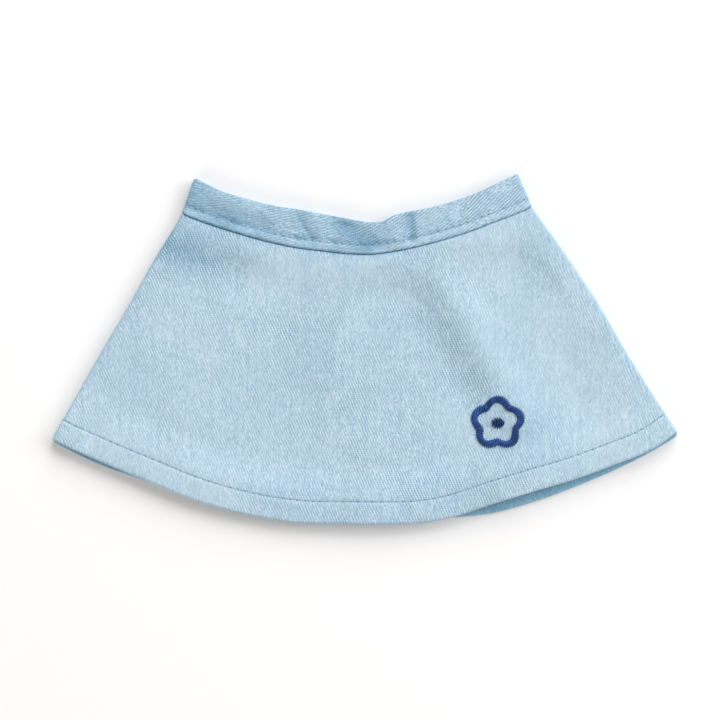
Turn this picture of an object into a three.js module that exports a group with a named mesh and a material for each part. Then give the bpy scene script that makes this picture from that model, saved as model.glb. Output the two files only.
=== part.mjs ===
import * as THREE from 'three';

// A doll's flared skirt in light denim, lying flat on its back with the waist towards +Y.
// Units are millimetres and degrees, and +Z is up. The origin is on the floor, under the middle.
//
// The laid skirt is a flattened tube. Every ring round it crosses the front, turns down at the
// right side, runs back underneath and turns up at the left side. The flare is a sector: its two
// sides point at one apex, so a place on the cloth is an angle at the apex and a distance from it.

// Cloth and the gaps between its layers
const WALL = 1;
const GAP = 0.3;
const INSIDE_GAP = 0.6;

// The sector
const APEX_X = -6.05;
const APEX_Y = 157.65;
const WAIST_RADIUS = 122;
const HEM_RADIUS = 222;
const BAND_HEIGHT = 13.1;
const HEM_DEPTH = 8.3;
const BAND_INSIDE_SHORT = 1.5;

// How far the front sinks between the thick band and the thick hem, and how it comes down
const SAG = 1.7;
const SAG_FROM_SEAM = [3, 18];
const SAG_FROM_HEM = [HEM_DEPTH + 1, HEM_DEPTH + 14];
const SAG_FROM_SIDE = [0, 24];

// Faces across and along the cloth
const FRONT_STEPS = 46;
const BACK_STEPS = 30;
const BAND_FRONT_STEPS = 40;
const BAND_BACK_STEPS = 12;
const SIDE_TURN_STEPS = 4;
const FOLD_STEPS = 4;
const FRONT_ROWS = 14;
const BACK_ROWS = 3;
const BAND_ROWS = 3;

// How far each edge lies outside its plain arc, by the angle at the apex
const EDGES = [
  { angle: -30, bandTop: 0.85, seam: 1.9, frontHem: -2, backHem: -1.3 },
  { angle: -25, bandTop: 0.5, seam: 0.7, frontHem: -2.9, backHem: -1.6 },
  { angle: -20, bandTop: -0.5, seam: -0.2, frontHem: -2.9, backHem: -2.6 },
  { angle: -15, bandTop: -1, seam: -0.5, frontHem: -1.4, backHem: -1.9 },
  { angle: -10, bandTop: -1.65, seam: -0.5, frontHem: -0.3, backHem: -1.4 },
  { angle: -5, bandTop: -1.1, seam: -0.5, frontHem: 0.3, backHem: -0.9 },
  { angle: 0, bandTop: 0.25, seam: 0.2, frontHem: 0, backHem: -0.8 },
  { angle: 4, bandTop: 1.8, seam: 0.7, frontHem: 0.6, backHem: -0.2 },
  { angle: 6.5, bandTop: 1.9, seam: 0.6, frontHem: 1.2, backHem: 0.15 },
  { angle: 8.8, bandTop: 0.3, seam: 0.45, frontHem: 1.15, backHem: 0.7 },
  { angle: 11, bandTop: -0.05, seam: 0.3, frontHem: 0.4, backHem: 1.5 },
  { angle: 14, bandTop: 0.1, seam: 0.2, frontHem: -0.9, backHem: 2.55 },
  { angle: 18, bandTop: 0.6, seam: 0.2, frontHem: -1.2, backHem: 2.65 },
  { angle: 22, bandTop: 0.95, seam: 0.5, frontHem: -0.2, backHem: 2.6 },
  { angle: 26, bandTop: 1.45, seam: 0.9, frontHem: 0.9, backHem: 2.9 },
  { angle: 30, bandTop: 1.75, seam: 2, frontHem: 2.4, backHem: 3.3 },
  { angle: 33, bandTop: 2.5, seam: 2.9, frontHem: 1.8, backHem: 3.2 },
];

// The angle of each side, by the way down: -1 at the band's top, 0 at the seam, 1 at the hem
const SIDES = [
  { down: -1, left: -31.2, right: 34.1 },
  { down: 0, left: -29.95, right: 33.1 },
  { down: 0.2, left: -30.1, right: 33.35 },
  { down: 0.4, left: -30.0, right: 33.45 },
  { down: 0.6, left: -30.05, right: 33.1 },
  { down: 0.8, left: -30.0, right: 32.95 },
  { down: 1, left: -29.95, right: 32.95 },
];

// The front's largest soft folds: a crest or, with a height below zero, a trough from one point
// to another, its half width and its height
const FOLDS = [
  { fromX: 20, fromY: 40, toX: 56, toY: -22, width: 9, height: 1.9 },
  { fromX: 8, fromY: 34, toX: 37, toY: -14, width: 7, height: -0.9 },
  { fromX: -74, fromY: 38, toX: -52, toY: 33, width: 6, height: -0.9 },
  { fromX: -52, fromY: 10, toX: -74, toY: -26, width: 15, height: 0.9 },
  { fromX: 60, fromY: 34, toX: 70, toY: 22, width: 6, height: -0.8 },
  { fromX: -14, fromY: 30, toX: -10, toY: -10, width: 11, height: 0.8 },
  { fromX: 54, fromY: -52, toX: 62, toY: -34, width: 12, height: 1.7 },
  { fromX: 2, fromY: -62, toX: 5, toY: -38, width: 12, height: 0.8 },
  { fromX: -62, fromY: -44, toX: -56, toY: -30, width: 14, height: 0.7 },
];

// Worked out from the sizes above
const LAYER = WALL + GAP;
const FOLD_RADIUS = LAYER / 2;
const FOLD_REACH = FOLD_RADIUS + WALL / 2;
const HALF_STACK = INSIDE_GAP / 2 + WALL + GAP + WALL / 2;
const MIDDLE_Z = WALL / 2 + HALF_STACK;
const SIDE_INSET = HALF_STACK + WALL / 2;
const ARCS = {
  bandTop: WAIST_RADIUS - BAND_HEIGHT,
  seam: WAIST_RADIUS,
  frontHem: HEM_RADIUS,
  backHem: HEM_RADIUS,
};
const { degToRad, radToDeg, lerp, smoothstep } = THREE.MathUtils;

// A smooth curve through one column of a table, by another column that rises
function readTable(table, by, column, at) {
  const last = table.length - 1;
  const clamped = Math.min(Math.max(at, table[0][by]), table[last][by]);
  let i = 0;
  while (i < last - 1 && clamped > table[i + 1][by]) i += 1;
  const slope = (k) => {
    const a = table[Math.max(k - 1, 0)];
    const b = table[Math.min(k + 1, last)];
    return (b[column] - a[column]) / (b[by] - a[by]);
  };
  const span = table[i + 1][by] - table[i][by];
  const t = (clamped - table[i][by]) / span;
  const rise = table[i + 1][column] - table[i][column];
  const bow = t * (1 - t) * ((1 - t) * (slope(i) * span - rise) - t * (slope(i + 1) * span - rise));
  return table[i][column] + rise * t + bow;
}

function edgeRadius(edge, angle) {
  return ARCS[edge] + readTable(EDGES, 'angle', edge, angle);
}

// Height of the soft folds at a place on the front
function foldHeight(x, y) {
  let crests = 0;
  let troughs = 0;
  for (const fold of FOLDS) {
    const alongX = fold.toX - fold.fromX;
    const alongY = fold.toY - fold.fromY;
    const share = ((x - fold.fromX) * alongX + (y - fold.fromY) * alongY) / (alongX ** 2 + alongY ** 2);
    const near = Math.min(Math.max(share, 0), 1);
    const away = Math.hypot(x - fold.fromX - near * alongX, y - fold.fromY - near * alongY);
    const height = fold.height * Math.exp(-((away / fold.width) ** 2));
    if (height > 0) crests += height;
    else troughs += height;
  }
  return { crests, troughs };
}

// How far the front lies above or below the level of the band and hem
function frontRise(x, y, fromSeam, fromHem, fromSide) {
  const clearOfSide = smoothstep(fromSide, ...SAG_FROM_SIDE);
  const clearOfBand = smoothstep(fromSeam, ...SAG_FROM_SEAM);
  const clear = clearOfSide * clearOfBand * smoothstep(fromHem, ...SAG_FROM_HEM);
  const { crests, troughs } = foldHeight(x, y);
  return (troughs - SAG) * clear + crests * clearOfSide * clearOfBand;
}

// One point of the cloth's middle surface and the way its outer side faces.
// A station is a place round the tube: how far across from left to right, and which way the
// cloth faces there, from 90 on the front through 0 at a side to -90 underneath.
// A row is a place along the section: its radius between the edges, the way down for the sides,
// the depth inside the outer layer, and the tilt of the cloth as it goes round a fold, which is
// at the hem or, with a foldWay below zero, at the band's top.
// half is 1 for the front panel, -1 for the back panel and 0 for the band that goes all round.
function clothPoint(station, row, half) {
  const { across, facing } = station;
  const nominal = row.down < 0
    ? lerp(WAIST_RADIUS, ARCS.bandTop, -row.down)
    : lerp(WAIST_RADIUS, HEM_RADIUS, row.down);
  const inset = radToDeg(SIDE_INSET / nominal);
  const left = readTable(SIDES, 'down', 'left', row.down) + inset;
  const right = readTable(SIDES, 'down', 'right', row.down) - inset;
  const angle = lerp(left, right, across);
  const frontShare = (1 + Math.sin(degToRad(facing))) / 2;
  const seam = edgeRadius('seam', angle);
  const hem = lerp(edgeRadius('backHem', angle), edgeRadius('frontHem', angle), frontShare);
  const radius = row.radius({ top: edgeRadius('bandTop', angle), seam, hem });
  const turn = degToRad(angle);
  const down = new THREE.Vector3(Math.sin(turn), -Math.cos(turn), 0);
  const side = new THREE.Vector3(Math.cos(turn), Math.sin(turn), 0).multiplyScalar(across < 0.5 ? -1 : 1);
  const up = new THREE.Vector3(0, 0, 1);
  const out = side.multiplyScalar(Math.cos(degToRad(facing))).addScaledVector(up, Math.sin(degToRad(facing)));
  const point = new THREE.Vector3(APEX_X, APEX_Y, MIDDLE_Z + (half * GAP) / 2).addScaledVector(down, radius);
  if (half >= 0 && row.down >= 0 && facing === 90) {
    const fromSide = degToRad(Math.min(angle - left, right - angle)) * radius;
    point.z += frontRise(point.x, point.y, radius - seam, hem - radius, fromSide);
  }
  point.addScaledVector(out, HALF_STACK - (Math.abs(half) * GAP) / 2 - row.depth);
  const tilt = degToRad(row.tilt);
  const normal = out.clone().multiplyScalar(Math.cos(tilt)).addScaledVector(down, Math.sin(tilt) * row.foldWay);
  return { point, normal };
}

// A closed wall of cloth on a grid of stations and rows
function clothWall(stations, rows, half) {
  const positions = [];
  for (const station of stations) {
    for (const row of rows) {
      const { point, normal } = clothPoint(station, row, half);
      for (const side of [WALL / 2, -WALL / 2]) {
        positions.push(...point.clone().addScaledVector(normal, side).toArray());
      }
    }
  }
  const outer = (c, r) => 2 * (c * rows.length + r);
  const inner = (c, r) => outer(c, r) + 1;
  const index = [];
  const quad = (a, b, c, d) => index.push(a, b, c, a, c, d);
  const lastStation = stations.length - 1;
  const lastRow = rows.length - 1;
  for (let c = 0; c < lastStation; c += 1) {
    for (let r = 0; r < lastRow; r += 1) {
      quad(outer(c, r), outer(c, r + 1), outer(c + 1, r + 1), outer(c + 1, r));
      quad(inner(c, r), inner(c + 1, r), inner(c + 1, r + 1), inner(c, r + 1));
    }
    quad(outer(c, 0), outer(c + 1, 0), inner(c + 1, 0), inner(c, 0));
    quad(outer(c, lastRow), inner(c, lastRow), inner(c + 1, lastRow), outer(c + 1, lastRow));
  }
  for (let r = 0; r < lastRow; r += 1) {
    quad(outer(0, r), inner(0, r), inner(0, r + 1), outer(0, r + 1));
    quad(outer(lastStation, r), outer(lastStation, r + 1), inner(lastStation, r + 1), inner(lastStation, r));
  }
  const geometry = new THREE.BufferGeometry();
  geometry.setAttribute('position', new THREE.Float32BufferAttribute(positions, 3));
  geometry.setIndex(index);
  geometry.computeVertexNormals();
  return geometry;
}

// Stations round the tube
function sideTurn(across, fromFacing, toFacing, steps) {
  return Array.from({ length: steps + 1 }, (_, i) => ({ across, facing: lerp(fromFacing, toFacing, i / steps) }));
}

function run(fromAcross, toAcross, facing, steps) {
  return Array.from({ length: steps + 1 }, (_, i) => ({ across: lerp(fromAcross, toAcross, i / steps), facing }));
}

// Rows round a folded edge: tilt 0 on the outer layer and 180 on the inner one
function foldRows(down, edge, way) {
  return Array.from({ length: FOLD_STEPS + 1 }, (_, i) => {
    const tilt = (180 * i) / FOLD_STEPS;
    const reach = FOLD_REACH - FOLD_RADIUS * Math.sin(degToRad(tilt));
    return {
      down,
      radius: (at) => at[edge] - way * reach,
      depth: FOLD_RADIUS * (1 - Math.cos(degToRad(tilt))),
      tilt,
      foldWay: way,
    };
  });
}

// A panel: its outer layer from the seam down, the fold at the hem and the turned-up hem inside
function panelRows(steps) {
  const flat = { depth: 0, tilt: 0, foldWay: 1 };
  const hemShare = 1 - HEM_DEPTH / (HEM_RADIUS - WAIST_RADIUS);
  const outer = Array.from({ length: steps + 1 }, (_, i) => ({
    ...flat,
    down: (hemShare * i) / steps,
    radius: (at) => lerp(at.seam + GAP / 2, at.hem - HEM_DEPTH, i / steps),
  }));
  const inside = { depth: LAYER, tilt: 180, foldWay: 1 };
  const halfWay = { down: (1 + hemShare) / 2, radius: (at) => at.hem - (FOLD_REACH + HEM_DEPTH) / 2 };
  const turnUpTop = { down: hemShare, radius: (at) => at.hem - HEM_DEPTH };
  return [
    ...outer,
    { ...flat, ...halfWay },
    ...foldRows(1, 'hem', 1),
    { ...inside, ...halfWay },
    { ...inside, ...turnUpTop },
  ];
}

// The band: its inner layer from the bottom up, the fold at the top and the outer layer down
function bandRows(steps) {
  const outer = Array.from({ length: steps + 1 }, (_, i) => ({
    down: -i / steps,
    radius: (at) => lerp(at.seam - GAP / 2, at.top + FOLD_REACH, i / steps),
    depth: 0,
    tilt: 0,
    foldWay: -1,
  }));
  const inner = { down: 0, radius: (at) => at.seam - BAND_INSIDE_SHORT, depth: LAYER, tilt: 180, foldWay: -1 };
  const aboveSeam = outer.slice(0, -1);
  return [...aboveSeam, ...foldRows(-1, 'top', -1), inner].reverse();
}

function cloth(name, colour, geometry) {
  const material = new THREE.MeshStandardMaterial({ color: colour, roughness: 0.9, metalness: 0 });
  const mesh = new THREE.Mesh(geometry, material);
  mesh.name = name;
  return mesh;
}

// Front panel, from its left side seam over the front to its right side seam
const frontStations = [
  ...sideTurn(0, 0, 90, SIDE_TURN_STEPS),
  ...run(0, 1, 90, FRONT_STEPS).slice(1, -1),
  ...sideTurn(1, 90, 0, SIDE_TURN_STEPS),
];
const frontPanel = cloth('front_panel', 0xb6d0de, clothWall(frontStations, panelRows(FRONT_ROWS), 1));

// Back panel, from its right side seam underneath to its left side seam
const backStations = [
  ...sideTurn(1, 0, -90, SIDE_TURN_STEPS),
  ...run(1, 0, -90, BACK_STEPS).slice(1, -1),
  ...sideTurn(0, -90, 0, SIDE_TURN_STEPS),
];
const backPanel = cloth('back_panel', 0x9dbccd, clothWall(backStations, panelRows(BACK_ROWS), -1));

// Waistband, one folded strip all round, its ends at the centre back
const bandLength = degToRad(SIDES[0].right - SIDES[0].left) * ARCS.bandTop;
const endGap = GAP / 2 / bandLength;
const bandStations = [
  ...run(0.5 - endGap, 0, -90, BAND_BACK_STEPS).slice(0, -1),
  ...sideTurn(0, -90, 90, 2 * SIDE_TURN_STEPS),
  ...run(0, 1, 90, BAND_FRONT_STEPS).slice(1, -1),
  ...sideTurn(1, 90, -90, 2 * SIDE_TURN_STEPS),
  ...run(1, 0.5 + endGap, -90, BAND_BACK_STEPS).slice(1),
];
const waistband = cloth('waistband', 0xa3c3d4, clothWall(bandStations, bandRows(BAND_ROWS), 0));

const group = new THREE.Group();
group.add(frontPanel, backPanel, waistband);
export default group;
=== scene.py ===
import math

import bpy
import numpy as np
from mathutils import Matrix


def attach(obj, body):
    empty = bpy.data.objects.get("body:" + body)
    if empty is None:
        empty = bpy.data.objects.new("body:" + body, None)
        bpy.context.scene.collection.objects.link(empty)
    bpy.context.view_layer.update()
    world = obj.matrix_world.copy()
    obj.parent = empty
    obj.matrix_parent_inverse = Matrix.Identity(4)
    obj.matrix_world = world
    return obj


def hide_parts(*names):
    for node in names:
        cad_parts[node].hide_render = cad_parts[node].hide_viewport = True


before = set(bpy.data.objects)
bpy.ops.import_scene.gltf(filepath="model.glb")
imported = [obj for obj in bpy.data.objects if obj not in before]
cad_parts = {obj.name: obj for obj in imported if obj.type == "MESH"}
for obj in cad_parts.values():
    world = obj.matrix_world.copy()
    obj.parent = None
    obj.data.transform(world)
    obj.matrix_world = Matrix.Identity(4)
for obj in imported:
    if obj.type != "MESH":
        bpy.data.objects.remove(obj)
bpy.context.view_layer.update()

# A doll's flared skirt in light blue denim, laid flat with the waist towards +Y.
# The cloth is laid out in millimetres and made in metres. A place on it is an angle at the apex
# of the flare, where the two sides would meet, and a distance from that apex.
MM = 0.001

# The photograph's frame, 720 pixels across, and the pixel over the skirt's middle
FRAME_PIXELS = 720
PIXEL = 0.37
MIDDLE_PIXEL = (364.9, 350.0)
LENS = 180
SENSOR = 36

# The studio: a white floor just under the skirt, and a warm sky
FLOOR_Z = -0.02
FLOOR_REACH = 3000
FLOOR_WHITE = (0.97, 0.97, 0.97, 1)
SKY = (1.10, 1.0, 0.91, 1)
SKY_STRENGTH = 0.37

# Sizes that the solids have
WALL = 1.0
GAP = 0.3
INSIDE_GAP = 0.6
APEX = (-6.05, 157.65)
WAIST_RADIUS = 122.0
HEM_RADIUS = 222.0
BAND_HEIGHT = 13.1
HEM_DEPTH = 8.3
SAG = 1.7
SAG_FROM_SEAM = (3.0, 18.0)
SAG_FROM_HEM = (HEM_DEPTH + 1, HEM_DEPTH + 14)
SAG_FROM_SIDE = (0.0, 24.0)
HALF_STACK = INSIDE_GAP / 2 + WALL + GAP + WALL / 2
MIDDLE_Z = WALL / 2 + HALF_STACK
SIDE_INSET = HALF_STACK + WALL / 2

# Which part of the flattened tube a piece of cloth makes: a half of it, or all round
FRONT = 1
BACK = -1
BAND = 0

# A station round the tube is a share of the way across, from the left side to the right, and
# the way that the cloth's outer side faces there, in degrees above level
LEFT = 0
RIGHT = 1
BESIDE = 0
UP = 90
DOWN = -90

# How squarely the cloth turns down at the sides: 1 is round and less is squarer
ROLL = 0.42

# The finer cloth made here, its outer face on the solids' outer face
CLOTH = 0.8
FOLD_GAP = 0.2
FOLD_RADIUS = (CLOTH + FOLD_GAP) / 2
FOLD_REACH = FOLD_RADIUS + CLOTH / 2
OUTER_DEPTH = -(WALL - CLOTH) / 2
TURN_UP = 9.0
BAND_INSIDE = 12.0

# Sewing: the stitch lines' distances from the hem and from the seam, their stitches and what
# stays free at a line's end
HEM_STITCH = 8.3
BAND_STITCH = 3.5
STITCH_PITCH = 2.8
STITCH_LENGTH = 0.88 * STITCH_PITCH
LINE_END = 0.3
THREAD = 0.28
THREAD_POINTS = 9

# How far a stitch arches up and lies sunk, in thicknesses of its thread
STITCH_RISE = 0.55
STITCH_SUNK = 0.60

# Each thread of a bundle starts this much further on along the bundle's map
THREAD_STEP = 100.0

# Ripples in the cloth's face, as height, size and start
PANEL_RIPPLES = ((0.10, 31, 0.4), (0.05, 11, 2.1))
BAND_RIPPLES = ((0.09, 12, 1.3), (0.03, 3.5, 0.5))

# The stitched grooves and the band's roll over its seam
HEM_GROOVE = 0.18
HEM_PUFF = 0.10
ABOVE_HEM_PUFF = 0.08
BAND_GROOVE = 0.26
BAND_WELT = 0.12
BAND_PUCKER = 0.13
SEAM_DIP = 0.20

# How deep the painted shade is in the seam, there less towards the right, at the right side's turn
# and on the band's top fold, both of which the lights catch brightly
SEAM_SHADE = 1.3
SEAM_SHADE_FADE = 0.85
TURN_SHADE = 0.3
TOP_FOLD_SHADE = 0.5

# Weave: 2 over 1 twill
WARP_PITCH = 0.35
WEFT_PITCH = 0.81
TWILL_ENDS = 3

# The embroidered flower
FLOWER_CENTRE = (49.0, -27.0)
FLOWER_RADIUS = 7.9
FLOWER_LOBES = 5
LOBE_DEPTH = 2.6
SATIN_WIDTH = 2.6
SATIN_THREAD = 0.54
SATIN_PITCH = 0.80
SATIN_RISE = 0.80
SATIN_SUNK = 0.15
SATIN_SLANT = 0.55
SATIN_OVERLAP = 0.12
UNDERLAY_RISE = 0.55
UNDERLAY_SLANT = 0.45
UNDERLAY_SHORT = 0.6
FLOWER_HEART = 2.3


class Table:
    """Rows of named columns, read as smooth curves."""

    def __init__(self, columns, rows):
        self.columns = dict(zip(columns.split(), np.array(rows, float).T))
        self.rows = [dict(zip(columns.split(), row)) for row in rows]

    def curve(self, column, by, at):
        xs = self.columns[by]
        ys = self.columns[column]
        at = np.clip(at, xs[0], xs[-1])
        i = np.clip(np.searchsorted(xs, at, side="left") - 1, 0, len(xs) - 2)
        slope = np.empty_like(ys)
        slope[1:-1] = (ys[2:] - ys[:-2]) / (xs[2:] - xs[:-2])
        slope[0] = (ys[1] - ys[0]) / (xs[1] - xs[0])
        slope[-1] = (ys[-1] - ys[-2]) / (xs[-1] - xs[-2])
        span = xs[i + 1] - xs[i]
        t = (at - xs[i]) / span
        rise = ys[i + 1] - ys[i]
        start = slope[i] * span - rise
        end = slope[i + 1] * span - rise
        return ys[i] + rise * t + t * (1 - t) * ((1 - t) * start - t * end)


# How far each edge lies outside its plain arc, by the angle at the apex
EDGES = Table("angle band_top seam front_hem back_hem", [
    (-30, 0.85, 1.9, -2, -1.3),
    (-25, 0.5, 0.7, -2.9, -1.6),
    (-20, -0.5, -0.2, -2.9, -2.6),
    (-15, -1, -0.5, -1.4, -1.9),
    (-10, -1.65, -0.5, -0.3, -1.4),
    (-5, -1.1, -0.5, 0.3, -0.9),
    (0, 0.25, 0.2, 0, -0.8),
    (4, 1.8, 0.7, 0.6, -0.2),
    (6.5, 1.9, 0.6, 1.2, 0.15),
    (8.8, 0.3, 0.45, 1.15, 0.7),
    (11, -0.05, 0.3, 0.4, 1.5),
    (14, 0.1, 0.2, -0.9, 2.55),
    (18, 0.6, 0.2, -1.2, 2.65),
    (22, 0.95, 0.5, -0.2, 2.6),
    (26, 1.45, 0.9, 0.9, 2.9),
    (30, 1.75, 2, 2.4, 3.3),
    (33, 2.5, 2.9, 1.8, 3.2),
])

# The angle of each side, by the way down: -1 at the band's top, 0 at the seam, 1 at the hem
SIDES = Table("down left right", [
    (-1, -31.2, 34.1),
    (0, -29.95, 33.1),
    (0.2, -30.1, 33.35),
    (0.4, -30.0, 33.45),
    (0.6, -30.05, 33.1),
    (0.8, -30.0, 32.95),
    (1, -29.95, 32.95),
])

FOLD_COLUMNS = "from_x from_y to_x to_y width height"

# How each panel's top edge dives under the band: the distance below the seam, the depth of the
# cloth's middle and its tilt
SEAM_DIVE = Table("plus depth tilt", [
    (-0.75, 0.95, 0),
    (-0.25, 0.95, 0),
    (0.0, 0.88, -35),
    (0.2, 0.6, -60),
    (0.32, 0.35, -62),
    (0.5, 0.1, -40),
    (0.75, -0.04, -15),
    (1.1, -0.1, 0),
])

# The front's large soft folds, as the solids have them
FOLDS = Table(FOLD_COLUMNS, [
    (20, 40, 56, -22, 9, 1.9),
    (8, 34, 37, -14, 7, -0.9),
    (-74, 38, -52, 33, 6, -0.9),
    (-52, 10, -74, -26, 15, 0.9),
    (60, 34, 70, 22, 6, -0.8),
    (-14, 30, -10, -10, 11, 0.8),
    (54, -52, 62, -34, 12, 1.7),
    (2, -62, 5, -38, 12, 0.8),
    (-62, -44, -56, -30, 14, 0.7),
])

# Small creases of the front panel, as seen in the photograph. The first two soften its large fold
PANEL_CREASES = Table(FOLD_COLUMNS, [
    (20, 40, 56, -22, 9, -0.22),
    (8, 34, 37, -14, 7, 0.26),
    (-22, 36, -20, 24, 2.0, 0.16),
    (-14.5, 35, -14, 22, 1.8, 0.14),
    (-6, 34, -7, 20, 2.2, 0.15),
    (2, 34, 1, 25, 1.8, 0.12),
    (-47, 40, -52, 28, 2.4, 0.15),
    (-5, -48, -6, -57, 2.0, 0.12),
    (16, -50, 18, -60, 2.2, 0.14),
    (-38, -46, -40, -55, 2.2, 0.10),
    (-80, -22, -86, -32, 2.5, 0.10),
    (84, -14, 92, -26, 3.0, 0.12),
    (47, 40, 52, 26, 2.6, 0.14),
    (66, 30, 73, 16, 2.6, -0.16),
])

# Creases of the band's front, as seen in the photograph
BAND_CREASES = Table(FOLD_COLUMNS, [
    (-25.5, 50, -19.6, 40.5, 1.2, -0.30),
    (-9.2, 47.4, 7.4, 37, 3.0, -0.45),
    (17.2, 49.5, 17.4, 40, 1.0, -0.35),
    (-64.7, 53, -35, 44.5, 2.6, -0.35),
    (-56.5, 51.5, -51.5, 55.5, 0.8, 0.20),
    (-38, 52, -33, 46, 1.6, 0.20),
    (34, 52, 38, 46, 1.8, -0.16),
    (48, 58, 46, 51, 1.6, 0.15),
    (-30, 51, -14, 47, 1.4, 0.18),
    (9, 45, 13, 38, 1.6, 0.18),
    (-12.5, 49, -7, 41, 1.0, 0.15),
    (-60, 58, -56, 50, 1.2, -0.16),
])

# Creases of the back panel, lifted off the table
BACK_CREASES = Table(FOLD_COLUMNS, [
    (-60, 30, -78, -12, 7, -0.35),
    (-22, 28, -26, -20, 5, -0.30),
    (16, 30, 22, 2, 6, -0.40),
    (50, 24, 70, -16, 8, -0.30),
    (-2, -10, 4, -40, 6, -0.25),
])

# Painted shade in creases, hollows and under the band's roll: height is how deep the shade is painted
PAINTED_SHADE_PANEL = Table(FOLD_COLUMNS, [
    (-74, 40, -64, 35, 6.5, 0.65),
    (-50, 35, -44, 31, 4.5, 0.10),
    (53, 6, 64, -30, 9, 0.16),
    (16, 32, 44, -8, 6.2, 0.03),
    (61, 32, 60, 22, 5.5, 0.10),
    (-64, 44, -54, 41, 3.5, 0.2),
    (-18.5, 2, -18.5, -8, 9.0, 0.12),
    (-88, -2, -90, -14, 8.0, 0.12),
    (-20.3, 40, -21, 22, 2.4, 0.16),
    (-6, 35, -5, 24, 2.0, 0.12),
    (-13, 36, 6, 35, 2.0, 0.15),
])
# Painted shade on the band: its creases and dents, and its left part, which turns from the light
PAINTED_SHADE_BAND = Table(FOLD_COLUMNS, [
    (-64, 59, -53, 47.5, 6.0, 0.60),
    (-48, 51, -38, 44, 4.5, 0.40),
    (-24, 49, -19, 41.5, 3.0, 0.50),
    (-8, 46, 1.0, 39.5, 4.6, 0.9),
    (-38, 49, -28, 43, 4.0, 0.06),
    (16.7, 50, 17.8, 41.5, 1.8, 0.75),
    (22, 42.5, 42.5, 50, 3.5, 0.12),
    (-63, 51.5, -40, 42, 1.8, 0.28),
    (-40, 42, -10, 37.3, 1.8, 0.24),
    (-10, 37.3, 8, 38.2, 1.8, 0.33),
])

# Where the face is rubbed and the twill hardly shows: height is the share rubbed away, and below 0
# where the twill stands out. Above 0 the cloth is also painted lighter and below 0 darker: painted
# light and shade on folds and creases, as well as wear.
RUBBED_AND_LIT_PANEL = Table(FOLD_COLUMNS, [
    (52, 36, 92, -40, 20, 1.0),
    (-34, 30, -8, 28, 9, 0.7),
    (46, 6, 54, -14, 9, 0.6),
    (61, 36, 66, 26, 6, -0.8),
    (2, 32, 17, 22, 7, 0.8),
    (28, -24, 38, -32, 7, 0.7),
    (-66, 26, -26, 24, 8, 0.5),
    (2, 10, 12, 0, 9, 0.4),
    (-70, 10, -62, 0, 9, 0.4),
    (-76, 38, -56, 30, 9, -0.9),
    (14, 32, 43, -14, 8, -0.6),
    (16, -50, 38, -54, 7, -0.4),
    (-90, -10, -40, -34, 26, 0.4),
    (-100, -36, -56, -55, 9, 0.9),
])
RUBBED_AND_LIT_BAND = Table(FOLD_COLUMNS, [
    (-64, 56, -40, 46, 9, 0.5),
    (-16, 44, 4, 40, 6, 0.3),
    (24, 48, 34, 50, 5, 0.5),
    (-37, 50, -31, 43, 4.5, -0.4),
    (6, 44, 13, 40, 4.5, -0.6),
    (38, 52, 64, 58, 9, -0.45),
])


def smoothstep(value, edges):
    t = np.clip((value - edges[0]) / (edges[1] - edges[0]), 0, 1)
    return t * t * (3 - 2 * t)


def between(value, rise, fall):
    """1 between the two pairs of edges, smooth over each pair and 0 outside them."""
    return smoothstep(value, rise) * (1 - smoothstep(value, fall))


def bell(value, width):
    """1 at 0, and nearly nothing at twice the width."""
    return np.exp(-((value / width) ** 2))


def fold_heights(table, x, y):
    """The heights of a table's crests and of its troughs at each place."""
    crests = np.zeros_like(x)
    troughs = np.zeros_like(x)
    for fold in table.rows:
        along_x = fold["to_x"] - fold["from_x"]
        along_y = fold["to_y"] - fold["from_y"]
        share = (x - fold["from_x"]) * along_x + (y - fold["from_y"]) * along_y
        near = np.clip(share / (along_x**2 + along_y**2), 0, 1)
        away = np.hypot(x - fold["from_x"] - near * along_x, y - fold["from_y"] - near * along_y)
        height = fold["height"] * bell(away, fold["width"])
        if fold["height"] > 0:
            crests += height
        else:
            troughs += height
    return crests, troughs


def wander(x, y, size, start):
    """A smooth uneven wave between about -1 and 1, its swells about size long. It is made of five
    waves, each longer than the last and turned by an odd angle."""
    total = 0
    for k in range(5):
        angle = start + 1.94 * k
        pace = 2 * math.pi / (size * (0.8 + 0.23 * k))
        total = total + np.sin(pace * (x * math.cos(angle) + y * math.sin(angle)) + 1.7 * k + start)
    return total / 3.2


def ripples(waves, x, y):
    return sum(height * wander(x, y, size, start) for height, size, start in waves)


# Rows down a section of cloth. The radius is top, seam and hem times those edges' radii, plus
# a distance; opened is the same distance on the cloth opened out flat.
ROW_FIELDS = "top seam hem plus opened down depth tilt".split()


def rows_from(rows):
    return dict(zip(ROW_FIELDS, np.array(rows, float).T))


def bunched(steps):
    """Shares from 0 to 1 that crowd together near both ends."""
    even = np.linspace(0, 1, steps + 1)
    return even - 0.8 * np.sin(2 * math.pi * even) / (2 * math.pi)


def fold_turns(steps):
    for tilt in np.linspace(0, 180, steps + 1):
        turn = math.radians(tilt)
        reach = FOLD_REACH - FOLD_RADIUS * math.sin(turn)
        depth = OUTER_DEPTH + FOLD_RADIUS * (1 - math.cos(turn))
        yield tilt, reach, depth, FOLD_REACH - FOLD_RADIUS * turn


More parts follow.
